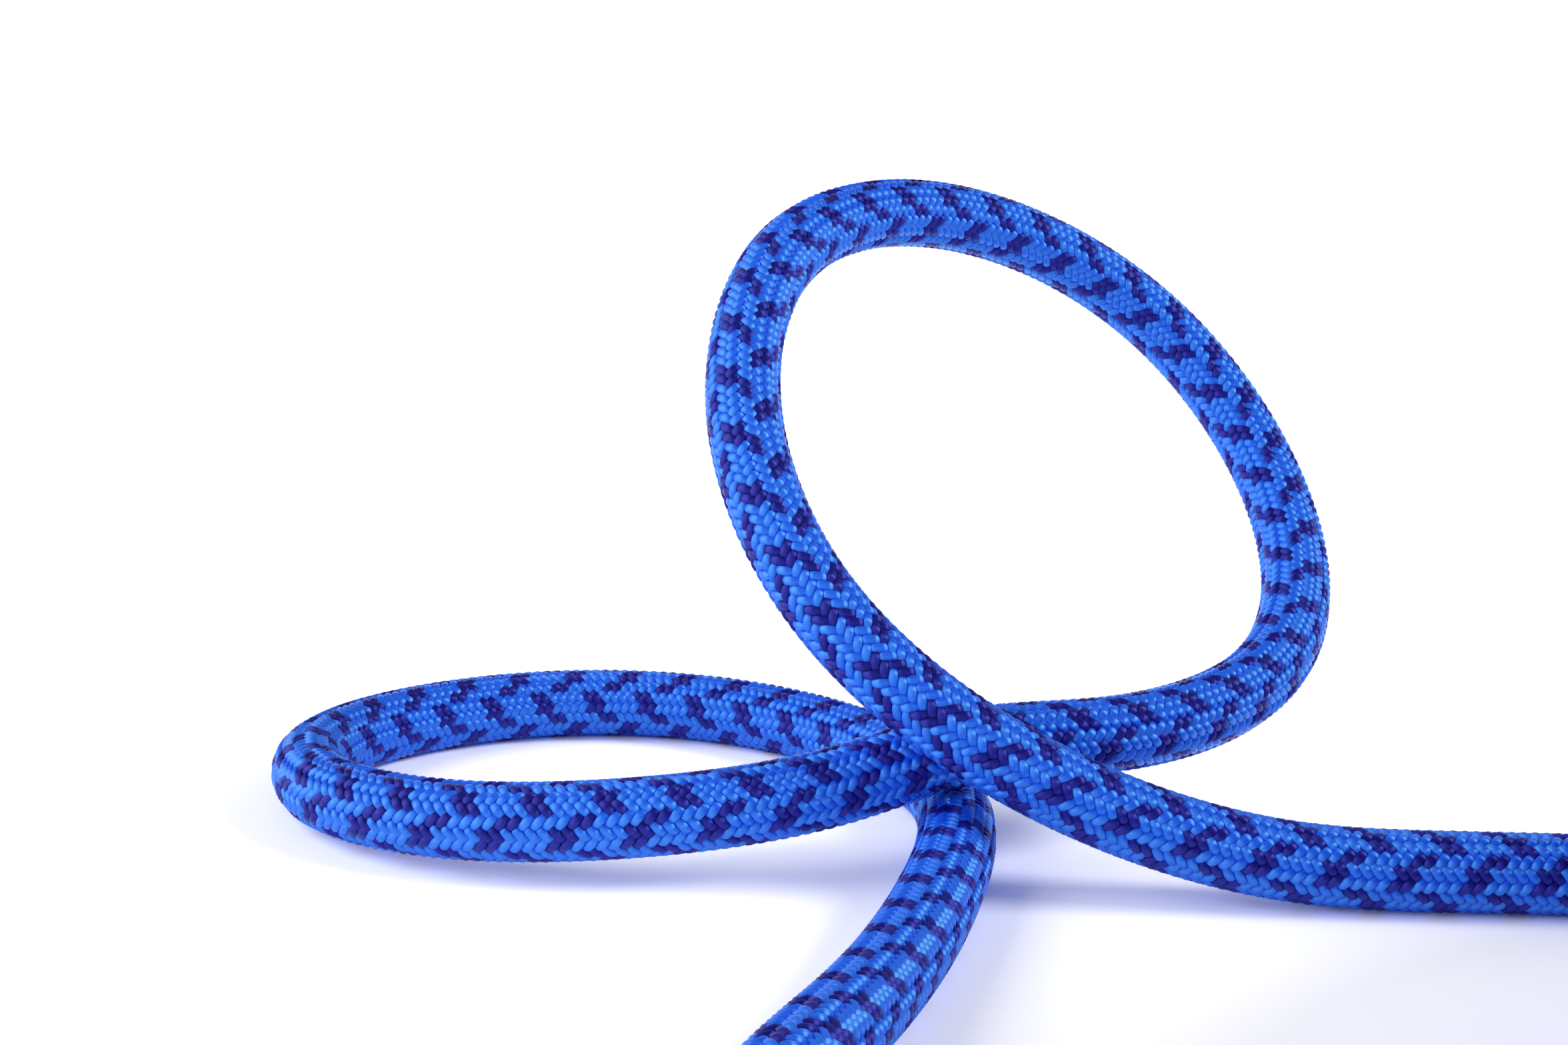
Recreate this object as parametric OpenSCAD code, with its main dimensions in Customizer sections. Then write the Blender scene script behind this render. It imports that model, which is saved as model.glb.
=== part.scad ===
// Dynamic climbing rope of kernmantle build, laid out in an open loop,
// with the rest of its length wound into a tied coil.
//
// Frame: origin under the middle of the first coil tie, on the surface that
// the rope lies on. +X runs along the rope's last straight stretch into the
// coil, +Y away from the loose tail, +Z up. Units are millimetres.

/* [Rope] */
// Diameter over the braided sheath
rope_d = 9.8; // [9.6:0.1:10]
// Thickness of the braided sheath
sheath_t = 1.1; // [0.9:0.05:1.3]
// Clearance between core strands, and between them and the sheath
strand_gap = 0.08; // [0.04:0.01:0.12]

/* [Marker tape] */
// Width of the marker tape that runs in the core
tape_w = 1; // [0.8:0.05:1.1]
// Thickness of the marker tape
tape_t = 0.12; // [0.1:0.01:0.14]

/* [Coil] */
// Layers of turns, one on the other
coil_layers = 4; // [2:2:4]
// Turns in one layer
turns_per_layer = 4.5; // [3.5:1:5.5]
// Radius of the coil's outermost turn, to the rope's centre
coil_r_out = 103.8; // [102:0.1:107]
// Clear gap between neighbouring turns
turn_gap = 0.6; // [0.5:0.05:0.8]

/* [Coil ties] */
// Width of the tape of a coil tie
tie_w = 16; // [12:1:20]
// Thickness of that tape
tie_t = 1; // [0.9:0.05:1.1]
// Clearance between a tie and the rope that it holds
tie_gap = 0.1; // [0.06:0.01:0.2]
// Length of the welded lap that closes a tie
tie_lap = 24; // [16:1:28]

/* [Rope ends] */
// Length of the shrunk sleeve on each end
sleeve_len = 30; // [24:1:34]
// Wall of that sleeve
sleeve_t = 0.45; // [0.3:0.05:0.5]
// Clearance between the sleeve's bore and the rope
sleeve_gap = 0.05; // [0.03:0.01:0.08]
// Length of the melted tip beyond the sheath
seal_len = 2.4; // [1.6:0.1:3]

/* [Hidden] */
STRANDS_OUT = 9;
STRANDS_IN = 3;
STRAND_NODES = [for (i = [1:STRANDS_OUT + STRANDS_IN])
    str("core_strand_", i < 10 ? "0" : "", i)];
TIE_NODES = ["coil_tie_1", "coil_tie_2", "coil_tie_3"];

// Route of the free stretch: control points of a cubic B-spline. It starts with
// a straight lead out of the coil, then goes up and round the standing loop,
// round the lying loop and out to the loose front end.
LEAD_STEP = 21;
LEAD_POINTS = 7;
ROUTE = [
    [-58, 105, 11.5], [-79, 108, 23], [-94, 115, 37], [-102, 129, 54.5],
    [-100, 147, 70.5], [-91, 166, 78.5], [-74, 182, 80], [-53, 191, 73.5],
    [-34, 191, 60.5], [-21, 182, 42.5], [-18, 164, 26.5], [-27.5, 141, 17],
    [-50, 122, 15], [-72, 117, 16.5], [-86, 112, 11], [-107, 105, 9],
    [-134, 107, 6.5], [-155, 120, 5.5], [-161, 140, 5.2], [-150, 159, 4.9],
    [-130, 171, 4.9], [-107, 171, 4.9], [-87, 159, 4.9], [-74, 139, 4.9],
    [-71, 118, 4.9], [-75, 95, 4.9], [-80.5, 74, 4.9], [-87.5, 53, 6],
    [-95, 32, 9], [-104, 11, 5.4], [-113, -10, 5.4], [-122, -31, 5.4],
    [-131, -52, 5.4], [-140, -73, 5.4]
];
// Spans of the route that are straight: the lead from the coil, and the tail
LEAD_SPANS = 4;
TAIL_SPANS = 2;

// Sides of the tubes and rings of one turn of the coil
SHEATH_SIDES = 10;
STRAND_SIDES = 6;
COIL_SIDES = 6;
TURN_RINGS = 24;
// Angles round the coil at which its ties sit
TIE_ANGLES = [180, 300, 60];
// Smallest gap between turns that the wound rope may have
LEAST_GAP = 0.4;

rope_r = rope_d / 2;
core_r = (rope_r - sheath_t) * cos(180 / SHEATH_SIDES);
turn_pitch = rope_d + turn_gap;
coil_turns = coil_layers * turns_per_layer;
coil_r_in = coil_r_out - turns_per_layer * turn_pitch;
// The wound tube lies on one of its flats
flat_r = rope_r * cos(180 / COIL_SIDES);
coil_z = tie_t + flat_r;
coil_top = coil_z + (coil_layers - 1) * turn_pitch + flat_r;
coil_x = (coil_r_in + coil_r_out) / 2;
sleeve_r = rope_r + sleeve_gap + sleeve_t;

// ---- curves and frames ----

function unit(v) = v / norm(v);

// Point of a uniform cubic B-spline at u, counted in spans from its start
function spline(points, u) =
    let (k = min(floor(u), len(points) - 4), t = u - k)
    ((1 - t) ^ 3 * points[k]
        + (3 * t ^ 3 - 6 * t ^ 2 + 4) * points[k + 1]
        + (-3 * t ^ 3 + 3 * t ^ 2 + 3 * t + 1) * points[k + 2]
        + t ^ 3 * points[k + 3]) / 6;

// Direction in which a list of stations runs at station i
function heading(centres, i) =
    unit(centres[min(i + 1, len(centres) - 1)] - centres[max(i - 1, 0)]);

// Frames [centre, side, up] that turn along the stations without twisting
function carried_frames(centres) =
    [for (i = 0, up = [0, 0, 1]; i < len(centres);
          i = i + 1,
          up = i < len(centres)
              ? unit(up - (up * heading(centres, i)) * heading(centres, i)) : up)
        [centres[i], cross(up, heading(centres, i)), up]];

// Frames [centre, side, up] that keep one side level
function level_frames(centres) =
    [for (i = [0:len(centres) - 1])
        let (side = unit(cross([0, 0, 1], heading(centres, i))))
        [centres[i], side, cross(heading(centres, i), side)]];

// A closed outline of 2D points, set into one frame
function ring(frame, outline) =
    [for (p = outline) frame[0] + p[0] * frame[1] + p[1] * frame[2]];

// Corners of a regular outline, the first of them at this angle from the top
function regular(sides, r, centre = [0, 0], first = 0) =
    [for (i = [0:sides - 1])
        let (a = first + 360 * i / sides) centre + r * [sin(a), cos(a)]];

// Triangles between ring r and the next, in the order of their points
function wall(r, sides, first = 0) =
    [for (i = [0:sides - 1])
        let (a = first + r * sides + i, b = first + r * sides + (i + 1) % sides)
        each [[a, b, b + sides], [a, b + sides, a + sides]]];

function flipped(faces) = [for (f = faces) [f[2], f[1], f[0]]];

// ---- solids along a path ----

// One unbroken solid tube with this outline along the frames
module swept(frames, outline) {
    sides = len(outline);
    last = (len(frames) - 1) * sides;
    polyhedron(
        points = [for (f = frames) each ring(f, outline)],
        faces = concat(
            [for (r = [0:len(frames) - 2]) each wall(r, sides)],
            [[for (i = [sides - 1:-1:0]) i]],
            [[for (i = [0:sides - 1]) last + i]]));
}

// One unbroken hollow tube between two outlines with as many points
module swept_hollow(frames, outer, inner) {
    sides = len(outer);
    bore = len(frames) * sides;
    last = (len(frames) - 1) * sides;
    polyhedron(
        points = concat([for (f = frames) each ring(f, outer)],
            [for (f = frames) each ring(f, inner)]),
        faces = concat(
            [for (r = [0:len(frames) - 2]) each wall(r, sides)],
            [for (r = [0:len(frames) - 2]) each flipped(wall(r, sides, bore))],
            [for (i = [0:sides - 1]) let (j = (i + 1) % sides)
                each [[j, i, bore + i], [j, bore + i, bore + j]]],
            [for (i = [0:sides - 1]) let (j = (i + 1) % sides)
                each [[last + i, last + j, bore + last + j],
                    [last + i, bore + last + j, bore + last + i]]]));
}

// ---- the coil ----

// Radius of the wound rope's centre after this many turns
function turn_radius(t) =
    let (layer = min(floor(t / turns_per_layer), coil_layers - 1),
         run = turn_pitch * (t - layer * turns_per_layer))
    layer % 2 == 0 ? coil_r_out - run : coil_r_in + run;

// Share of one climb that is done, from 0 to 1, eased at both ends
function climbed(t, layer) =
    let (s = max(0, min(1, (t - layer * turns_per_layer) * 2 + 0.5)))
    s * s * (3 - 2 * s);

function climbs(t, layer) =
    layer == 0 ? 0 : climbed(t, layer) + climbs(t, layer - 1);

function turn_point(t) =
    let (r = turn_radius(t), a = 90 - 360 * t)
    [coil_x + r * cos(a), r * sin(a), coil_z + turn_pitch * climbs(t, coil_layers - 1)];

coil_steps = coil_turns * TURN_RINGS;
coil_lead = turn_point(0) - [rope_d, 0, 0];
back_start = turn_point(coil_turns);
back_end = back_start + [rope_d + sleeve_len, 0, 0];
coil_centres = concat([coil_lead],
    [for (i = [0:coil_steps]) turn_point(i / TURN_RINGS)],
    [back_start + [rope_d, 0, 0], back_end]);
// The first and last rings stand square to what they meet
coil_frames = [for (f = level_frames(coil_centres))
    f[0] == coil_lead || f[0] == back_end ? [f[0], [0, 1, 0], [0, 0, 1]] : f];

module rope_coil() {
    color("royalblue")
        swept(coil_frames, regular(COIL_SIDES, rope_r, first = 180 / COIL_SIDES));
}

// Least gap of the wound rope to itself: the turns that can meet are those
// half a turn or more apart along the rope
wound = [for (i = [0:coil_steps]) turn_point(i / TURN_RINGS)];
least_gap = min([for (i = [0:coil_steps - TURN_RINGS / 2])
    min([for (j = [i + TURN_RINGS / 2:coil_steps]) norm(wound[i] - wound[j])])]) - rope_d;

// ---- the free stretch ----

// The lead comes down from the coil's first layer to lie on the ground
lead = [for (i = [-1:LEAD_POINTS - 2])
    [coil_lead[0] - i * LEAD_STEP, coil_lead[1], i < 2 ? coil_z : rope_r]];
route = concat(lead, ROUTE);
route_spans = len(route) - 3;
route_stations = concat(
    [for (i = [0:LEAD_SPANS - 1]) i],
    [for (u = [LEAD_SPANS:0.5:route_spans - TAIL_SPANS]) u],
    [for (i = [1:TAIL_SPANS]) route_spans - TAIL_SPANS + i]);
route_centres = [for (u = route_stations) spline(route, u)];
route_frames = carried_frames(route_centres);
front_end = route_centres[len(route_centres) - 1];
front_way = unit(front_end - route_centres[len(route_centres) - 2]);

module sheath() {
    color("royalblue")
        swept_hollow(route_frames, regular(SHEATH_SIDES, rope_r),
            regular(SHEATH_SIDES, rope_r - sheath_t));
}

// Twelve round strands, three inside nine, fill a circle of this many radii
STRAND_PACKING = 4.05;
strand_room = (core_r - strand_gap) / STRAND_PACKING;
strand_r = strand_room - strand_gap / 2;
strand_ring_out = core_r - strand_gap - strand_room;
strand_ring_in = strand_room / sin(180 / STRANDS_IN);

function strand_place(i) =
    i < STRANDS_OUT
        ? strand_ring_out * [sin(360 * i / STRANDS_OUT), cos(360 * i / STRANDS_OUT)]
        : strand_ring_in * [sin(360 * (i - STRANDS_OUT + 0.5) / STRANDS_IN),
            cos(360 * (i - STRANDS_OUT + 0.5) / STRANDS_IN)];

module core_strand(i) {
    color("white")
        swept(route_frames, regular(STRAND_SIDES, strand_r, strand_place(i)));
}

// The tape lies in the furrow between two outer strands, next to the sheath
module marker_tape() {
    furrow = 180 / STRANDS_OUT;
    radial = [sin(furrow), cos(furrow)];
    along = [cos(furrow), -sin(furrow)];
    outside = core_r - strand_gap;
    half = tape_w / 2;
    color("tomato")
        swept(route_frames, [
            outside * radial - half * along, outside * radial + half * along,
            (outside - tape_t) * radial + half * along,
            (outside - tape_t) * radial - half * along]);
}

// ---- what the rope measures ----

// Length of a line of points
function path_length(points) =
    len(points) < 2 ? 0
        : [for (i = 1, s = norm(points[1] - points[0]); i < len(points);
               i = i + 1,
               s = s + (i < len(points) ? norm(points[i] - points[i - 1]) : 0)) s]
            [len(points) - 2];
echo(least_gap_of_coil = least_gap);
echo(length_of_free_stretch = path_length(
    [for (u = [0:0.05:route_spans]) spline(route, u)]));
echo(length_of_coil = path_length(coil_centres));
assert(least_gap > LEAST_GAP, "the turns of the coil touch");

// ---- the coil ties ----

// Radii of every turn where it passes this angle round the coil
function radii_at(angle) =
    let (share = ((90 - angle) / 360) % 1, first = share < 0 ? share + 1 : share)
    [for (t = [first:1:coil_turns]) turn_radius(t)];

module rounded(w, h, r) {
    translate([r, 0]) square([w - 2 * r, h]);
    translate([0, r]) square([w, h - 2 * r]);
    for (x = [r, w - r], y = [r, h - r])
        translate([x, y]) circle(r = r, $fn = 24);
}

// A flat tape round all the turns, closed by a lap on its outer side
module coil_tie(k) {
    angle = TIE_ANGLES[k];
    radii = radii_at(angle);
    inside = sqrt((min(radii) - rope_r) ^ 2 - (tie_w / 2) ^ 2) - tie_gap;
    outside = max(radii) + rope_r + tie_gap;
    high = coil_top + tie_gap;
    color("dimgray")
        translate([coil_x, 0, 0])
            rotate([0, 0, angle])
                translate([inside - tie_t, tie_w / 2, 0])
                    rotate([90, 0, 0])
                        linear_extrude(tie_w)
                            difference() {
                                union() {
                                    rounded(outside - inside + 2 * tie_t, high + tie_t,
                                        rope_r + tie_t);
                                    translate([outside - inside + tie_t,
                                        (high + tie_t - tie_lap) / 2])
                                        square([2 * tie_t, tie_lap]);
                                }
                                translate([tie_t, tie_t])
                                    rounded(outside - inside, high - tie_t, rope_r);
                            }
}

// ---- the rope's ends ----

// Turns +Z to a level direction and sets it down at a point
module set_along(point, way) {
    translate(point)
        rotate([0, 90, atan2(way[1], way[0])])
            children();
}

// Shrunk sleeve, open at both ends and flush with the rope's cut
module end_sleeve(point, way) {
    color("black")
        set_along(point - sleeve_len * way, way)
            rotate_extrude($fn = 32)
                translate([rope_r + sleeve_gap, 0])
                    square([sleeve_t, sleeve_len]);
}

// Right half of a rounded rectangle that is centred on the upright axis
module rounded_half(w, h, r) {
    square([w - r, h]);
    translate([0, r]) square([w, h - 2 * r]);
    for (y = [r, h - r])
        translate([w - r, y]) circle(r = r, $fn = 13);
}

// Tip where sheath and core are melted together: a low dome, a little wider
// than the rope, that closes the sleeve
module end_seal(point, way) {
    color("midnightblue")
        set_along(point, way)
            rotate_extrude($fn = 32)
                difference() {
                    translate([0, -seal_len])
                        rounded_half(rope_r + sleeve_gap + sleeve_t / 2, 2 * seal_len,
                            seal_len * 0.8);
                    translate([-1, -2 * seal_len])
                        square([2 * sleeve_r, 2 * seal_len]);
                }
}

sheath();
for (i = [0:len(STRAND_NODES) - 1])
    core_strand(i);
marker_tape();
rope_coil();
for (k = [0:len(TIE_NODES) - 1])
    coil_tie(k);
end_sleeve(front_end, front_way);  // end_sleeve_front
end_sleeve(back_end, [1, 0, 0]);  // end_sleeve_back
end_seal(front_end, front_way);  // end_seal_front
end_seal(back_end, [1, 0, 0]);  // end_seal_back
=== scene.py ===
"""Looks of the dynamic climbing rope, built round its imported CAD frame.

Lengths are in millimetres up to the point where Blender takes them, which is
in metres. X runs along the rope's lead into the coil, Y away from the loose
front end, Z up from the ground.
"""

import math

import bmesh
import bpy
import numpy as np
from mathutils import Matrix, Vector


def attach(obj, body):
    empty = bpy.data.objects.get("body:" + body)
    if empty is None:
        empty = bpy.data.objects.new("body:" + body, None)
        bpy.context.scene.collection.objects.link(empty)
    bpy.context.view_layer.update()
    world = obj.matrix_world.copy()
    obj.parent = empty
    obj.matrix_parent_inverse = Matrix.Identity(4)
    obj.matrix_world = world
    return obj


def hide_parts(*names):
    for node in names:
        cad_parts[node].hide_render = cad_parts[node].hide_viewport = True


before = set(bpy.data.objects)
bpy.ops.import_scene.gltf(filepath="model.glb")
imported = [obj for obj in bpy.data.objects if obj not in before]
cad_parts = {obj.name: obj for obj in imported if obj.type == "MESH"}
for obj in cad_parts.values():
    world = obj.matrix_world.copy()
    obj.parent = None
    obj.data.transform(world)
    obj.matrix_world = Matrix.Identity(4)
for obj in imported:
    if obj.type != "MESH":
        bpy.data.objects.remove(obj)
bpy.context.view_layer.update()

MM = 0.001

# ---- the rope's sizes, as in the CAD model ----

ROPE_D = 9.8
ROPE_R = ROPE_D / 2
TURN_GAP = 0.6
LAYERS = 4
TURNS_PER_LAYER = 4.5
COIL_R_OUT = 103.8
TIE_T = 1.0
TIE_ANGLES = (180, 300, 60)    # degrees round the coil
SLEEVE_LEN = 30.0

TURN_PITCH = ROPE_D + TURN_GAP
COIL_R_IN = COIL_R_OUT - TURNS_PER_LAYER * TURN_PITCH
COIL_X = (COIL_R_IN + COIL_R_OUT) / 2
COIL_TURNS = int(LAYERS * TURNS_PER_LAYER)
# The round rope sinks together under its ties a little more than the CAD's tube
LAYER_PITCH = 9.95
TIE_PLAY = 0.05
COIL_Z = TIE_T + ROPE_R + TIE_PLAY
COIL_RINGS = 2300      # rings of the wound part; 200,000 triangles are the limit
END_RINGS = 8          # rings of the straight bit in the back sleeve
ROPE_SIDES = 24

# Control points of the free stretch, a cubic B-spline: the straight lead out of
# the coil, then the loops
LEAD_STEP = 21
LEAD_POINTS = 7
LEAD_HIGH = 2          # from this one on, the lead lies on the ground
SPAN_RINGS = 46        # rings from one control point to the next
ROUTE = [
    (-58, 105, 11.5), (-79, 108, 23), (-94, 115, 37), (-102, 129, 54.5),
    (-100, 147, 70.5), (-91, 166, 78.5), (-74, 182, 80), (-53, 191, 73.5),
    (-34, 191, 60.5), (-21, 182, 42.5), (-18, 164, 26.5), (-27.5, 141, 17),
    (-50, 122, 15), (-72, 117, 16.5), (-86, 112, 11), (-107, 105, 9),
    (-134, 107, 6.5), (-155, 120, 5.5), (-161, 140, 5.2), (-150, 159, 4.9),
    (-130, 171, 4.9), (-107, 171, 4.9), (-87, 159, 4.9), (-74, 139, 4.9),
    (-71, 118, 4.9), (-75, 95, 4.9), (-80.5, 74, 4.9), (-87.5, 53, 6),
    (-95, 32, 9), (-104, 11, 5.4), (-113, -10, 5.4), (-122, -31, 5.4),
    (-131, -52, 5.4), (-140, -73, 5.4),
]

# ---- the braid ----

CARRIERS = 36          # yarns in the sheath, half of them wound each way
LAY = 25.7             # length of rope in which one yarn goes round once
FLOAT_SPAN = 2.0       # yarns that a float goes over, and then under
COLOUR_REPEAT = 6      # yarns of one way in one repeat of the two colours
DARK_IN_REPEAT = 2     # of which this many are dark
YARN_WIDE = 1.22
YARN_THICK = 0.92
# A yarn's outline, across it and outwards, in half widths and half thicknesses
OUTLINE = np.array([(1, 0), (0.74, 0.72), (0, 1), (-0.74, 0.72), (-1, 0),
                    (-0.5, -0.7), (0.5, -0.7)])
CROWN = 2                  # the outline's point on top
RINGS_PER_CROSSING = 2     # rings on a yarn from one crossing to the next
NIPPED = 0.88              # share of its width that it keeps at a crossing
SWELL_POWER = 0.4          # the lower, the sooner it swells beyond it
THICK_SHARE = 0.6          # share of this swelling that its thickness takes
PRESSED_FLAT = 0.02        # height at which crowns flatten on the ground
OVER_R = ROPE_R - 0.36     # radius of a yarn's centre on top of a crossing
UNDER_R = ROPE_R - 1.08    # and beneath one
BED_R = ROPE_R - 1.0       # radius of the shaded bed of yarns beneath
SEAM_RINGS = 3             # rings of the wound part that cover the yarns' ends
SEAM_RISE = 1.0            # length in which the yarns come up through it
SEAM_SINK = 0.8            # and how deep they start

# ---- the finishes ----

NYLON_IOR = 1.53
POLYOLEFIN_IOR = 1.49
YARN_IOR = 1.90            # above nylon's own, for the sheen of its filaments
YARN_ROUGHNESS = 0.38
FILAMENT_GROUPS = 26.0     # groups of filaments round a yarn
FILAMENT_TURN = 0.12       # turns of a filament for each yarn it crosses
FILAMENT_CONTRAST = 1.4
END_POWER = 4.0            # how squarely a float ends,
FLANK_POWER = 2.0          # and how roundly its flanks fall
# Scales on Object coordinates, in patches to a metre
BED_MOTTLE = 900.0         # 1.1 mm each, a yarn's width
SLEEVE_PRINT = 650.0       # 1.5 mm each, about the size of a float
MELT_LUMPS = 420.0         # 2.4 mm each
CORE_PITCH = 1.2           # a wave's band, light and dark, is two pitches long
FILM_PITCH = 3.0
WAVE_UNIT = 6.28           # turns a pitch into the wave texture's scale
TAPE_FLOAT = 1.8           # the webbing's weave
TAPE_ROW = 0.9
TAPE_GAP = 0.12

# ---- the camera ----

CAMERA_AT = (-95.0, -148.0, 94.45)
CAMERA_DOWN = 10.875       # degrees below the horizon
CAMERA_ROLL = 1.347        # degrees
CAMERA_LENS = 50.0
CAMERA_SENSOR = 36.0
CAMERA_NEAR = 10.0

# ---- the studio ----

FLOOR_SIZE = 20000.0
# Each softbox: its name, strength, width in degrees and where its light goes.
# One stands on each side, a little in front; the left one is wider and nearer
SOFTBOXES = (("softbox_right", 1.57, 24, (-0.81, 0.10, -0.57)),
             ("softbox_left", 2.12, 60, (0.85, 0.15, -0.50)))
WALL_LIGHT = 1.5           # the room's light from its walls, at the horizon
WALL_FALL = 2.0            # the power by which it falls off upwards
CEILING_LIGHT = 0.14
PURE_WHITE = 1.0           # the strength that shows as white

# ---- colours ----

AZURE = "#063EE4"
# Painted highlight, paler towards each float's edges
AZURE_RIM_HIGHLIGHT = "#307AFF"
AZURE_GLINT = "#7CDCFF"
# Painted shade where a yarn tucks under its neighbours
AZURE_FOLD_SHADE = "#04269C"
INDIGO = "#06085E"
# Painted highlight, paler towards each float's edges
INDIGO_RIM_HIGHLIGHT = "#201E8C"
INDIGO_GLINT = "#5C64F0"
# Painted shade where a yarn tucks under, and in the bed beneath; also the deep tone
# in the melted tip's lumps
INDIGO_DEEP_AND_FOLD_SHADE = "#04043C"
WOUND_GLINT = "#78B4FF"
# Painted shade of the bed of yarns beneath the crossings
SHADE_BED = "#1038B4"
CORE_WHITE = "#ECEAE2"
# Painted shade in the grooves of the core's twist
CORE_SHADE = "#CFCBBF"
MARKER_RED = "#C8452C"
# Painted shade in the grooves of the marker film's twist
MARKER_SHADE = "#A83420"
WEBBING = "#26262B"
WEBBING_HI = "#3A3A42"
SHRINK_BLACK = "#121316"
MELT_NAVY = "#141A52"
FLOOR_WHITE = "#FAFAFA"
FLOOR_GLOW = "#C4C4C4"
SKY_WHITE = "#FFFFFF"
SUN_WARM = "#FFFDF8"


def colour(text):
    """sRGB hex to the linear colour that a socket takes."""
    parts = [int(text[i:i + 2], 16) / 255 for i in (1, 3, 5)]
    return tuple(c / 12.92 if c <= 0.04045 else ((c + 0.055) / 1.055) ** 2.4
                 for c in parts) + (1.0,)


def node(tree, kind, inputs=None, **settings):
    """Adds one node: its settings, then its inputs, each a value or a socket."""
    made = tree.nodes.new(kind)
    for name, value in settings.items():
        setattr(made, name, value)
    for key, value in (inputs or {}).items():
        if isinstance(value, bpy.types.NodeSocket):
            tree.links.new(value, made.inputs[key])
        else:
            made.inputs[key].default_value = value
    return made


def blank_material(name):
    """A material with only its output, and its node tree."""
    material = bpy.data.materials.new(name)
    material.use_nodes = True
    material.node_tree.nodes.clear()
    return material, material.node_tree


def finish_material(tree, shader):
    """Joins the shader to the material's output."""
    node(tree, "ShaderNodeOutputMaterial", {"Surface": shader.outputs[0]})


# ---- materials ----


def nylon_yarn(name, core, rim_highlight, fold_shade, glint):
    """Polyamide filament yarn, dyed and lightly twisted: silky, so its gloss
    spreads across the filaments and lights one way's floats while the other
    way's stay deep; fine lines nearly along it, a painted highlight towards
    the edges of each float, and painted shade where it tucks under."""
    material, tree = blank_material(name)
    uv = node(tree, "ShaderNodeUVMap", uv_map="yarn")
    place = node(tree, "ShaderNodeSeparateXYZ", {0: uv.outputs[0]})
    # U counts the yarns it crosses, 1.1 mm each, and a float is centred on
    # 1, 5, 9 and so on; V is turns round the yarn, from one flank over the crown
    shifted = node(tree, "ShaderNodeMath", {0: place.outputs["X"], 1: 1.0},
                   operation="SUBTRACT")
    wrapped = node(tree, "ShaderNodeMath",
                   {0: shifted.outputs[0], 1: FLOAT_SPAN, 2: -FLOAT_SPAN},
                   operation="WRAP")
    from_middle = node(tree, "ShaderNodeMath", {0: wrapped.outputs[0]},
                       operation="ABSOLUTE")
    end = node(tree, "ShaderNodeMath", {0: from_middle.outputs[0], 1: END_POWER},
               operation="POWER")
    # 0 on the crown, -1 and 1 on the flanks
    turned = node(tree, "ShaderNodeMath",
                  {0: place.outputs["Y"], 1: len(OUTLINE) / CROWN, 2: -1.0},
                  operation="MULTIPLY_ADD")
    aside = node(tree, "ShaderNodeMath", {0: turned.outputs[0]}, operation="ABSOLUTE")
    flank = node(tree, "ShaderNodeMath", {0: aside.outputs[0], 1: FLANK_POWER},
                 operation="POWER")
    # 0 in the middle of a float, 1 at its edge
    outer = node(tree, "ShaderNodeMath", {0: end.outputs[0], 1: flank.outputs[0]},
                 operation="ADD")
    # Painted highlight: the colour pales towards each float's edges
    edge = node(tree, "ShaderNodeMapRange",
                {"Value": outer.outputs[0], "From Min": 0.3, "From Max": 0.9,
                 "To Max": 0.15})
    # Painted shade: the colour darkens where the float tucks under
    tuck_shade = node(tree, "ShaderNodeMapRange",
                  {"Value": outer.outputs[0], "From Min": 0.8, "From Max": 1.2})
    # Groups of filaments, which wind round the yarn once in 9 mm
    wound = node(tree, "ShaderNodeMath",
                 {0: place.outputs["X"], 1: FILAMENT_TURN, 2: place.outputs["Y"]},
                 operation="MULTIPLY_ADD")
    round_it = node(tree, "ShaderNodeMath",
                    {0: wound.outputs[0], 1: FILAMENT_GROUPS}, operation="MULTIPLY")
    line_at = node(tree, "ShaderNodeCombineXYZ",
                   {"X": place.outputs["X"], "Y": round_it.outputs[0]})
    lines = node(tree, "ShaderNodeTexNoise",
                 {"Vector": line_at.outputs[0], "Scale": 1.0, "Detail": 2.0})
    # The filament lines and the painted highlight together pale the colour from the
    # core towards the highlight colour
    tint = node(tree, "ShaderNodeMath",
                {0: lines.outputs["Fac"], 1: FILAMENT_CONTRAST,
                 2: edge.outputs[0]},
                operation="MULTIPLY_ADD")
    shade = node(tree, "ShaderNodeMapRange",
                 {"Value": tint.outputs[0], "From Min": 0.4, "From Max": 1.3})
    lit = node(tree, "ShaderNodeMix",
               {"Factor": shade.outputs[0], "A": colour(core), "B": colour(rim_highlight)},
               data_type="RGBA")
    base = node(tree, "ShaderNodeMix",
                {"Factor": tuck_shade.outputs[0], "A": lit.outputs["Result"],
                 "B": colour(fold_shade)}, data_type="RGBA")
    bump = node(tree, "ShaderNodeBump",
                {"Height": lines.outputs["Fac"], "Strength": 0.6,
                 "Distance": 0.06 * MM})
    filament = node(tree, "ShaderNodeTangent", direction_type="UV_MAP", uv_map="yarn")
    shader = node(tree, "ShaderNodeBsdfPrincipled",
                  {"Base Color": base.outputs["Result"],
                   "Roughness": YARN_ROUGHNESS, "IOR": YARN_IOR,
                   "Specular IOR Level": 1.0,
                   "Specular Tint": colour(glint), "Anisotropic": 1.0,
                   "Anisotropic Rotation": 0.25, "Tangent": filament.outputs[0],
                   "Normal": bump.outputs[0]})
    finish_material(tree, shader)
    return material


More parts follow.
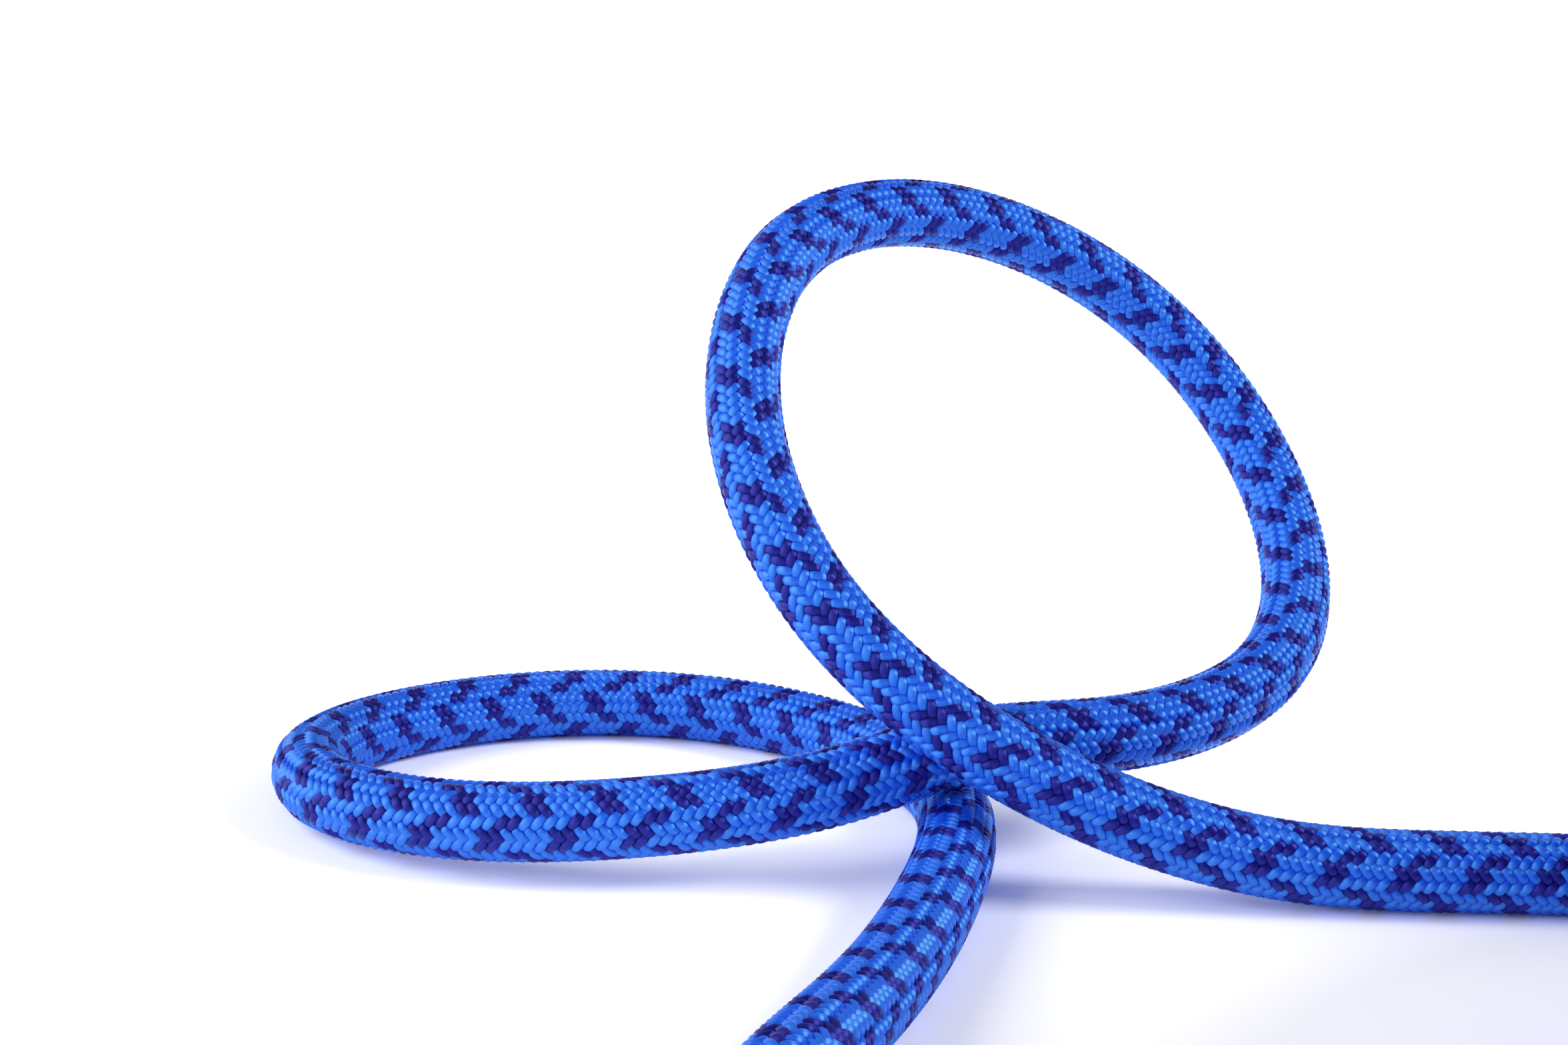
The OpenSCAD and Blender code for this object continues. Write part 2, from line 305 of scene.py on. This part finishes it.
def braid_seen_whole(name):
    """The same braid where the rope is wound up: each float drawn on the
    surface from the braid's own count of yarns, wound each way, with a
    painted highlight towards its edges and painted shade where it tucks under."""
    material, tree = blank_material(name)
    uv = node(tree, "ShaderNodeUVMap", uv_map="yarn")
    place = node(tree, "ShaderNodeSeparateXYZ", {0: uv.outputs[0]})
    right, left = place.outputs["X"], place.outputs["Y"]
    right_no = node(tree, "ShaderNodeMath", {0: right}, operation="FLOOR").outputs[0]
    left_no = node(tree, "ShaderNodeMath", {0: left}, operation="FLOOR").outputs[0]
    # Two over, two under: which way's yarn lies on top repeats every four cells
    cell = node(tree, "ShaderNodeMath", {0: right_no, 1: left_no}, operation="ADD")
    in_four = node(tree, "ShaderNodeMath", {0: cell.outputs[0], 1: 2 * FLOAT_SPAN},
                   operation="FLOORED_MODULO")
    on_top = node(tree, "ShaderNodeMath",
                  {0: in_four.outputs[0], 1: FLOAT_SPAN - 0.5},
                  operation="LESS_THAN").outputs[0]
    picked = []
    for number, other, across in ((right_no, left, right), (left_no, right, left)):
        run = node(tree, "ShaderNodeMath", {0: number, 1: other}, operation="ADD")
        # How far along its float, from 0 to 2, and how far across, from 0 to 1
        part = node(tree, "ShaderNodeMath", {0: run.outputs[0], 1: FLOAT_SPAN},
                    operation="FLOORED_MODULO")
        wide = node(tree, "ShaderNodeMath", {0: across}, operation="FRACT")
        picked.append((number, part.outputs[0], wide.outputs[0]))
    yarn_no, along, across = [
        node(tree, "ShaderNodeMix",
             {"Factor": on_top, "A": picked[1][k], "B": picked[0][k]}).outputs[0]
        for k in range(3)]
    # 0 in the middle of a float, 1 at its edge
    bounds = []
    for value, size, power in ((along, FLOAT_SPAN, END_POWER),
                               (across, 1.0, FLANK_POWER)):
        away = node(tree, "ShaderNodeMath", {0: value, 1: 2 / size, 2: -1.0},
                    operation="MULTIPLY_ADD")
        apart = node(tree, "ShaderNodeMath", {0: away.outputs[0]},
                     operation="ABSOLUTE")
        bounds.append(node(tree, "ShaderNodeMath", {0: apart.outputs[0], 1: power},
                           operation="POWER").outputs[0])
    outer = node(tree, "ShaderNodeMath", {0: bounds[0], 1: bounds[1]},
                 operation="ADD")
    # Painted highlight towards each float's edges
    edge = node(tree, "ShaderNodeMapRange",
                {"Value": outer.outputs[0], "From Min": 0.05, "From Max": 0.7})
    # Painted shade where each float tucks under
    tuck_shade = node(tree, "ShaderNodeMapRange",
                  {"Value": outer.outputs[0], "From Min": 0.7, "From Max": 1.2})
    in_repeat = node(tree, "ShaderNodeMath", {0: yarn_no, 1: float(COLOUR_REPEAT)},
                     operation="FLOORED_MODULO")
    dark = node(tree, "ShaderNodeMath",
                {0: in_repeat.outputs[0], 1: DARK_IN_REPEAT - 0.5},
                operation="LESS_THAN")
    # For azure and indigo yarns: the own colour, the painted highlight and the
    # painted shade
    core, rim_highlight, fold_shade = [
        node(tree, "ShaderNodeMix",
             {"Factor": dark.outputs[0], "A": colour(azure), "B": colour(indigo)},
             data_type="RGBA").outputs["Result"]
        for azure, indigo in ((AZURE, INDIGO), (AZURE_RIM_HIGHLIGHT, INDIGO_RIM_HIGHLIGHT),
                              (AZURE_FOLD_SHADE, INDIGO_DEEP_AND_FOLD_SHADE))]
    lit = node(tree, "ShaderNodeMix",
               {"Factor": edge.outputs[0], "A": core, "B": rim_highlight}, data_type="RGBA")
    base = node(tree, "ShaderNodeMix",
                {"Factor": tuck_shade.outputs[0], "A": lit.outputs["Result"], "B": fold_shade},
                data_type="RGBA")
    hollow = node(tree, "ShaderNodeMath", {0: outer.outputs[0], 1: 1.5},
                  operation="MINIMUM")
    bump = node(tree, "ShaderNodeBump",
                {"Height": hollow.outputs[0], "Strength": 0.9,
                 "Distance": 0.3 * MM}, invert=True)
    shader = node(tree, "ShaderNodeBsdfPrincipled",
                  {"Base Color": base.outputs["Result"],
                   "Roughness": YARN_ROUGHNESS, "IOR": NYLON_IOR,
                   "Specular IOR Level": 0.6,
                   "Specular Tint": colour(WOUND_GLINT), "Normal": bump.outputs[0]})
    finish_material(tree, shader)
    return material


def shaded_bed(name):
    """Yarns lying deep under the crossings: dull, and painted dark with the shade
    that falls between the floats above them.
    """
    material, tree = blank_material(name)
    spot = node(tree, "ShaderNodeTexCoord")
    mottle = node(tree, "ShaderNodeTexNoise",
                  {"Vector": spot.outputs["Object"], "Scale": BED_MOTTLE,
                   "Detail": 2.0})
    # Painted shade, mottled
    base = node(tree, "ShaderNodeMix",
                {"Factor": mottle.outputs["Fac"], "A": colour(INDIGO_DEEP_AND_FOLD_SHADE),
                 "B": colour(SHADE_BED)}, data_type="RGBA")
    shader = node(tree, "ShaderNodeBsdfPrincipled",
                  {"Base Color": base.outputs["Result"], "Roughness": 0.8})
    finish_material(tree, shader)
    return material


def twisted_core(name, lit, deep, pitch):
    """Undyed polyamide strands, chalky, and the dull marker film beside them:
    both with the slow slant of the core's twist, painted lit and shaded in
    bands along it."""
    material, tree = blank_material(name)
    spot = node(tree, "ShaderNodeTexCoord")
    turned = node(tree, "ShaderNodeMapping",
                  {"Vector": spot.outputs["Object"], "Rotation": (0.3, 0.5, 0.7)})
    lines = node(tree, "ShaderNodeTexWave",
                 {"Vector": turned.outputs[0], "Scale": 1 / (pitch * MM) / WAVE_UNIT,
                  "Distortion": 1.5, "Detail": 1.0})
    # Painted shade in the twist's grooves, between bands of the own colour
    base = node(tree, "ShaderNodeMix",
                {"Factor": lines.outputs["Fac"], "A": colour(deep), "B": colour(lit)},
                data_type="RGBA")
    bump = node(tree, "ShaderNodeBump",
                {"Height": lines.outputs["Fac"], "Strength": 0.4,
                 "Distance": 0.1 * MM})
    shader = node(tree, "ShaderNodeBsdfPrincipled",
                  {"Base Color": base.outputs["Result"], "Roughness": 0.6,
                   "IOR": NYLON_IOR, "Normal": bump.outputs[0]})
    finish_material(tree, shader)
    return material


def woven_webbing(name, angle):
    """Polyester webbing tape: matt, with its floats in rows that follow the
    tape over the coil at this angle."""
    material, tree = blank_material(name)
    spot = node(tree, "ShaderNodeTexCoord")
    turned = node(tree, "ShaderNodeMapping",
                  {"Vector": spot.outputs["Object"], "Location": (COIL_X * MM, 0, 0),
                   "Rotation": (0, 0, math.radians(angle))}, vector_type="TEXTURE")
    place = node(tree, "ShaderNodeSeparateXYZ", {0: turned.outputs[0]})
    # Along the tape: out from the middle of its top, then down its walls
    off_middle = node(tree, "ShaderNodeMath",
                      {0: place.outputs["X"], 1: COIL_X * MM}, operation="SUBTRACT")
    out_on_top = node(tree, "ShaderNodeMath", {0: off_middle.outputs[0]},
                      operation="ABSOLUTE")
    along = node(tree, "ShaderNodeMath",
                 {0: out_on_top.outputs[0], 1: place.outputs["Z"]},
                 operation="SUBTRACT")
    on_tape = node(tree, "ShaderNodeCombineXYZ",
                   {"X": along.outputs[0], "Y": place.outputs["Y"]})
    weave = node(tree, "ShaderNodeTexBrick",
                 {"Vector": on_tape.outputs[0], "Color1": (1, 1, 1, 1),
                  "Color2": (0.7, 0.7, 0.7, 1), "Mortar": (0, 0, 0, 1),
                  "Scale": 1.0, "Mortar Size": TAPE_GAP * MM, "Mortar Smooth": 1.0,
                  "Brick Width": TAPE_FLOAT * MM, "Row Height": TAPE_ROW * MM})
    base = node(tree, "ShaderNodeMix",
                {"Factor": weave.outputs["Color"], "A": colour(WEBBING),
                 "B": colour(WEBBING_HI)}, data_type="RGBA")
    bump = node(tree, "ShaderNodeBump",
                {"Height": weave.outputs["Color"], "Strength": 0.6,
                 "Distance": 0.15 * MM})
    shader = node(tree, "ShaderNodeBsdfPrincipled",
                  {"Base Color": base.outputs["Result"], "Roughness": 0.8,
                   "Sheen Weight": 0.12, "Normal": bump.outputs[0]})
    finish_material(tree, shader)
    return material


def shrunk_polyolefin(name):
    """Heat-shrunk polyolefin tube: satin black that shows the braid faintly."""
    material, tree = blank_material(name)
    spot = node(tree, "ShaderNodeTexCoord")
    print_through = node(tree, "ShaderNodeTexVoronoi",
                         {"Vector": spot.outputs["Object"],
                          "Scale": SLEEVE_PRINT},
                         feature="SMOOTH_F1")
    bump = node(tree, "ShaderNodeBump",
                {"Height": print_through.outputs["Distance"], "Strength": 0.35,
                 "Distance": 0.2 * MM})
    shader = node(tree, "ShaderNodeBsdfPrincipled",
                  {"Base Color": colour(SHRINK_BLACK), "Roughness": 0.34,
                   "IOR": POLYOLEFIN_IOR, "Normal": bump.outputs[0]})
    finish_material(tree, shader)
    return material


def melted_nylon(name):
    """Nylon cut with a hot blade: run together, glassy and slightly lumpy."""
    material, tree = blank_material(name)
    spot = node(tree, "ShaderNodeTexCoord")
    lumps = node(tree, "ShaderNodeTexNoise",
                 {"Vector": spot.outputs["Object"], "Scale": MELT_LUMPS,
                  "Detail": 3.0})
    base = node(tree, "ShaderNodeMix",
                {"Factor": lumps.outputs["Fac"], "A": colour(INDIGO_DEEP_AND_FOLD_SHADE),
                 "B": colour(MELT_NAVY)}, data_type="RGBA")
    bump = node(tree, "ShaderNodeBump",
                {"Height": lumps.outputs["Fac"], "Strength": 0.8,
                 "Distance": 0.5 * MM})
    shader = node(tree, "ShaderNodeBsdfPrincipled",
                  {"Base Color": base.outputs["Result"], "Roughness": 0.25,
                   "IOR": NYLON_IOR, "Normal": bump.outputs[0]})
    finish_material(tree, shader)
    return material


def background_rays(tree):
    """1 for the rays that see the background: the camera's own, and those
    that gloss and glass send on; 0 for the rays that light the rope."""
    rays = node(tree, "ShaderNodeLightPath")
    shiny = node(tree, "ShaderNodeMath", {0: rays.outputs["Is Glossy Ray"],
                                          1: rays.outputs["Is Transmission Ray"]},
                 operation="ADD")
    return node(tree, "ShaderNodeMath", {0: rays.outputs["Is Camera Ray"],
                                         1: shiny.outputs[0]},
                operation="ADD", use_clamp=True).outputs[0]


def studio_paper(name):
    """White studio paper, matt. The background's rays see it burnt out to pure
    white, so that only its shadows show; the rope is lit by plain paper."""
    material, tree = blank_material(name)
    paper = node(tree, "ShaderNodeBsdfDiffuse", {"Color": colour(FLOOR_WHITE)})
    glow = node(tree, "ShaderNodeBsdfDiffuse", {"Color": colour(FLOOR_GLOW)})
    both = node(tree, "ShaderNodeAddShader",
                {0: paper.outputs[0], 1: glow.outputs[0]})
    shader = node(tree, "ShaderNodeMixShader",
                  {0: background_rays(tree), 1: paper.outputs[0],
                   2: both.outputs[0]})
    finish_material(tree, shader)
    return material


# ---- curves ----


def spline(points, per_span):
    """Points along a uniform cubic B-spline."""
    points = np.array(points, float)
    spans = len(points) - 3
    u = np.linspace(0, spans, spans * per_span + 1)
    k = np.minimum(u.astype(int), spans - 1)
    t = (u - k)[:, None]
    return ((1 - t) ** 3 * points[k]
            + (3 * t ** 3 - 6 * t ** 2 + 4) * points[k + 1]
            + (-3 * t ** 3 + 3 * t ** 2 + 3 * t + 1) * points[k + 2]
            + t ** 3 * points[k + 3]) / 6


def turn_point(turns):
    """The wound rope's centre after so many turns from the lead."""
    layer = min(int(turns / TURNS_PER_LAYER), LAYERS - 1)
    run = TURN_PITCH * (turns - layer * TURNS_PER_LAYER)
    radius = COIL_R_OUT - run if layer % 2 == 0 else COIL_R_IN + run
    climbed = 0.0
    for reversal in range(1, LAYERS):
        # From a quarter turn before the reversal to a quarter turn after it
        rise = (turns - reversal * TURNS_PER_LAYER) * 2 + 0.5
        rise = max(0.0, min(1.0, rise))
        climbed += rise * rise * (3 - 2 * rise)
    angle = math.radians(90 - 360 * turns)
    return (COIL_X + radius * math.cos(angle), radius * math.sin(angle),
            COIL_Z + LAYER_PITCH * climbed)


def lengths(points):
    """Distance along the line at each of its points."""
    steps = np.linalg.norm(np.diff(points, axis=0), axis=1)
    return np.concatenate([[0.0], np.cumsum(steps)])


def unit(vectors):
    """The vectors at length 1."""
    return vectors / np.linalg.norm(vectors, axis=1)[:, None]


def carried_frames(points):
    """Sides and ups that turn along the line without twisting."""
    heads = unit(np.gradient(points, axis=0))
    ups = np.empty_like(heads)
    up = np.array((0.0, 0.0, 1.0))
    for i, head in enumerate(heads):
        up = up - up.dot(head) * head
        up /= np.linalg.norm(up)
        ups[i] = up
    return np.cross(ups, heads), ups


# ---- meshes ----


def piece(name, points, quads, uvs, materials, slots=None):
    """A smooth mesh object from points in mm, quads and one UV per corner,
    with a face over each open end."""
    mesh = bpy.data.meshes.new(name)
    mesh.vertices.add(len(points))
    mesh.vertices.foreach_set("co", (points * MM).astype(np.float32).ravel())
    mesh.loops.add(quads.size)
    mesh.loops.foreach_set("vertex_index", quads.astype(np.int32).ravel())
    mesh.polygons.add(len(quads))
    mesh.polygons.foreach_set("loop_start",
                              np.arange(0, quads.size, 4, dtype=np.int32))
    if slots is not None:
        mesh.polygons.foreach_set("material_index", slots.astype(np.int32))
    mesh.update(calc_edges=True)
    layer = mesh.uv_layers.new(name="yarn")
    layer.data.foreach_set("uv", uvs.astype(np.float32).ravel())
    mesh.shade_smooth()
    shape = bmesh.new()
    shape.from_mesh(mesh)
    bmesh.ops.holes_fill(shape, edges=shape.edges[:])
    shape.to_mesh(mesh)
    shape.free()
    for material in materials:
        mesh.materials.append(material)
    made = bpy.data.objects.new(name, mesh)
    bpy.context.scene.collection.objects.link(made)
    return made


def tube_corners(rings, sides):
    """The ring and the side of each corner of the quads round a tube, facing
    outwards; the last side is followed by one more, where the tube closes."""
    ring = np.repeat(np.arange(rings - 1), sides)[:, None] + (1, 1, 0, 0)
    side = np.tile(np.arange(sides), rings - 1)[:, None] + (0, 1, 1, 0)
    return ring, side


# ---- the camera comes first ----

scene = bpy.context.scene
camera_data = bpy.data.cameras.new("camera")
camera_data.lens = CAMERA_LENS
camera_data.sensor_width = CAMERA_SENSOR
camera_data.clip_start = CAMERA_NEAR * MM
camera = bpy.data.objects.new("camera", camera_data)
scene.collection.objects.link(camera)
camera.matrix_world = (Matrix.Translation(Vector(CAMERA_AT) * MM)
                       @ Matrix.Rotation(math.radians(90 - CAMERA_DOWN), 4, "X")
                       @ Matrix.Rotation(math.radians(CAMERA_ROLL), 4, "Z"))
scene.camera = camera

# ---- the rope's line, from the back end through the coil to the front end ----

lead_start = np.array(turn_point(0)) - (ROPE_D, 0, 0)
lead = [(lead_start[0] - LEAD_STEP * i, lead_start[1],
         COIL_Z if i < LEAD_HIGH else ROPE_R)
        for i in range(-1, LEAD_POINTS - 1)]
free_line = spline(lead + ROUTE, SPAN_RINGS)
back_start = np.array(turn_point(COIL_TURNS))
back_end = back_start + (ROPE_D + SLEEVE_LEN, 0, 0)
coil_line = np.array(
    [back_end + (back_start - back_end) * k / END_RINGS for k in range(END_RINGS)]
    + [turn_point(COIL_TURNS * (1 - k / COIL_RINGS)) for k in range(COIL_RINGS + 1)])
rope_line = np.concatenate([coil_line, free_line])
coil_count = len(coil_line)
free_lengths = lengths(free_line)
free_sides, free_ups = carried_frames(free_line)

# ---- materials, made once ----

azure_yarn = nylon_yarn("nylon_yarn_azure", AZURE, AZURE_RIM_HIGHLIGHT, AZURE_FOLD_SHADE,
                        AZURE_GLINT)
indigo_yarn = nylon_yarn("nylon_yarn_indigo", INDIGO, INDIGO_RIM_HIGHLIGHT, INDIGO_DEEP_AND_FOLD_SHADE,
                         INDIGO_GLINT)
bed_material = shaded_bed("nylon_yarn_shaded_bed")
coil_material = braid_seen_whole("nylon_braid_wound")
core_material = twisted_core("nylon_core_undyed", CORE_WHITE, CORE_SHADE,
                             CORE_PITCH)
marker_material = twisted_core("polyester_marker_film", MARKER_RED, MARKER_SHADE,
                               FILM_PITCH)
tie_materials = [woven_webbing(f"polyester_webbing_charcoal_{k + 1}", angle)
                 for k, angle in enumerate(TIE_ANGLES)]
sleeve_material = shrunk_polyolefin("polyolefin_shrunk_black")
melt_material = melted_nylon("nylon_melted_tip")
floor_material = studio_paper("studio_paper_white")


# ---- the rope's body: the wound rope, and the bed under the free braid ----


def rope_body():
    """The wound part at its full width, and the free part's bed, in one tube."""
    # Frames and lengths run both ways from the seam, so that the drawn braid
    # carries on where the yarns leave off
    back_side, back_up = carried_frames(
        np.concatenate([coil_line, free_line[:1]])[::-1])
    side = np.concatenate([-back_side[:0:-1], free_sides])
    up = np.concatenate([back_up[:0:-1], free_ups])
    distance = lengths(rope_line)
    distance -= distance[coil_count]
    # The wound part keeps its full width a little past the yarns' first rings
    whole = np.arange(len(rope_line)) < coil_count + SEAM_RINGS
    radius = np.where(whole, ROPE_R, BED_R)
    angle = 2 * np.pi * np.arange(ROPE_SIDES) / ROPE_SIDES
    points = (rope_line[:, None]
              + radius[:, None, None]
              * (np.sin(angle)[None, :, None] * side[:, None]
                 + np.cos(angle)[None, :, None] * up[:, None]))
    ring, i = tube_corners(len(rope_line), ROPE_SIDES)
    # Yarn counts of both ways at each corner, as the braid winds
    round_part = i / ROPE_SIDES * CARRIERS / 2
    run_part = distance[ring] / LAY * CARRIERS / 2
    uvs = np.stack([round_part - run_part, round_part + run_part], -1)
    slots = np.where(whole[ring[:, 0]], 0, 1)
    return piece("rope_body", points.reshape(-1, 3),
                 ring * ROPE_SIDES + i % ROPE_SIDES, uvs,
                 [coil_material, bed_material], slots)


# ---- the sheath's yarns on the free stretch ----


def along_free(values, distance):
    """The free stretch's points, sides or ups at these distances along it."""
    return np.stack([np.interp(distance, free_lengths, values[:, k])
                     for k in range(3)], -1)


def yarn(number, way):
    """Rings of points of one yarn, wound right (way 1) or left (way -1), and
    the count of the yarns that it has crossed at each ring."""
    crossings = CARRIERS * free_lengths[-1] / LAY
    count = int(crossings * RINGS_PER_CROSSING) + 1
    run = np.linspace(0, crossings, count)
    distance = run * LAY / CARRIERS
    mine = number + 0.5
    other = mine + way * run
    turn = 2 * np.pi * (mine + other) / CARRIERS
    # 1 in the middle of two that it goes over, -1 of two that it goes under
    over = way * np.sin(np.pi / FLOAT_SPAN * (number + other))
    lift = over * (1.5 - 0.5 * over ** 2)
    radius = (OVER_R + UNDER_R) / 2 + lift * (OVER_R - UNDER_R) / 2
    radius -= SEAM_SINK * np.clip(1 - distance / SEAM_RISE, 0, 1)
    centre, side, up = [along_free(values, distance)
                        for values in (free_line, free_sides, free_ups)]
    out = np.sin(turn)[:, None] * side + np.cos(turn)[:, None] * up
    spine = centre + radius[:, None] * out
    way_along = unit(np.gradient(spine, axis=0))
    across = unit(np.cross(way_along, out))
    outward = np.cross(across, way_along)
    # A float swells between the crossings that nip it at both ends
    swell = NIPPED + (1 - NIPPED) * np.clip(over, 0, 1) ** SWELL_POWER
    thick_swell = 1 - THICK_SHARE + THICK_SHARE * swell
    points = (spine[:, None]
              + OUTLINE[None, :, 0, None] * YARN_WIDE / 2
              * swell[:, None, None] * across[:, None]
              + OUTLINE[None, :, 1, None] * YARN_THICK / 2
              * thick_swell[:, None, None] * outward[:, None])
    points[..., 2] = np.maximum(points[..., 2], PRESSED_FLAT)
    return points, way * (number + other)


def yarn_piece(name, numbers, way, material):
    """One piece of several yarns of one way and one colour."""
    sides = len(OUTLINE)
    all_points, all_quads, all_uvs, first = [], [], [], 0
    for number in numbers:
        points, count = yarn(number, way)
        ring, i = tube_corners(len(points), sides)
        all_points.append(points.reshape(-1, 3))
        all_quads.append(first + ring * sides + i % sides)
        all_uvs.append(np.stack([count[ring], i / sides], -1))
        first += len(points) * sides
    return piece(name, np.concatenate(all_points), np.concatenate(all_quads),
                 np.concatenate(all_uvs), [material])


def is_dark(number):
    """Whether the yarn of this number is one of the indigo ones."""
    return number % COLOUR_REPEAT < DARK_IN_REPEAT


rope = rope_body()
yarns = []
for way, way_name in ((1, "right"), (-1, "left")):
    dark = [n for n in range(CARRIERS // 2) if is_dark(n)]
    light = [n for n in range(CARRIERS // 2) if not is_dark(n)]
    # So few yarns to a piece that each has under 200,000 triangles
    for name, numbers, material in (
            (f"yarns_{way_name}_indigo_a", dark[:3], indigo_yarn),
            (f"yarns_{way_name}_indigo_b", dark[3:], indigo_yarn),
            (f"yarns_{way_name}_azure_a", light[:4], azure_yarn),
            (f"yarns_{way_name}_azure_b", light[4:8], azure_yarn),
            (f"yarns_{way_name}_azure_c", light[8:], azure_yarn)):
        yarns.append(yarn_piece(name, numbers, way, material))

for made in [rope] + yarns:
    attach(made, "root")
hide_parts("sheath", "rope_coil")

# ---- finishes of the CAD nodes that stay ----


def dress(prefix, material):
    """Gives the material to the CAD nodes whose names start so."""
    for name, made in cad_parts.items():
        if name.startswith(prefix):
            made.data.materials.clear()
            made.data.materials.append(material)


dress("core_strand", core_material)
dress("marker_tape", marker_material)
for k, material in enumerate(tie_materials):
    dress(f"coil_tie_{k + 1}", material)
dress("end_sleeve", sleeve_material)
dress("end_seal", melt_material)

# ---- studio ----

bpy.ops.object.select_all(action="DESELECT")
bpy.ops.mesh.primitive_plane_add(size=FLOOR_SIZE * MM, location=(0, 0, 0))
floor = bpy.context.object
floor.name = "studio_floor"
floor.data.materials.append(floor_material)

for name, energy, spread, falls in SOFTBOXES:
    lamp_data = bpy.data.lights.new(name, "SUN")
    lamp_data.energy = energy
    lamp_data.angle = math.radians(spread)
    lamp_data.color = colour(SUN_WARM)[:3]
    lamp = bpy.data.objects.new(name, lamp_data)
    lamp.rotation_euler = Vector(falls).to_track_quat("-Z", "Y").to_euler()
    scene.collection.objects.link(lamp)

world = bpy.data.worlds.new("studio")
world.use_nodes = True
world.node_tree.nodes.clear()
sky = world.node_tree
# The room's pale walls light the rope from low down, and its ceiling hardly
# does; the background's rays see the walls as white and no brighter
aim = node(sky, "ShaderNodeTexCoord")
height = node(sky, "ShaderNodeSeparateXYZ", {0: aim.outputs["Generated"]})
steep = node(sky, "ShaderNodeMath", {0: height.outputs["Z"]}, operation="ABSOLUTE")
level = node(sky, "ShaderNodeMath", {0: 1.0, 1: steep.outputs[0]},
             operation="SUBTRACT")
wall = node(sky, "ShaderNodeMath", {0: level.outputs[0], 1: WALL_FALL},
            operation="POWER")
light = node(sky, "ShaderNodeMath",
             {0: wall.outputs[0], 1: WALL_LIGHT, 2: CEILING_LIGHT},
             operation="MULTIPLY_ADD")
white = node(sky, "ShaderNodeMath", {0: light.outputs[0], 1: PURE_WHITE},
             operation="MINIMUM")
strength = node(sky, "ShaderNodeMix", {"Factor": background_rays(sky),
                                       "A": light.outputs[0], "B": white.outputs[0]})
room = node(sky, "ShaderNodeBackground",
            {"Color": colour(SKY_WHITE), "Strength": strength.outputs[0]})
node(sky, "ShaderNodeOutputWorld", {"Surface": room.outputs[0]})
scene.world = world

scene.view_settings.view_transform = "Standard"
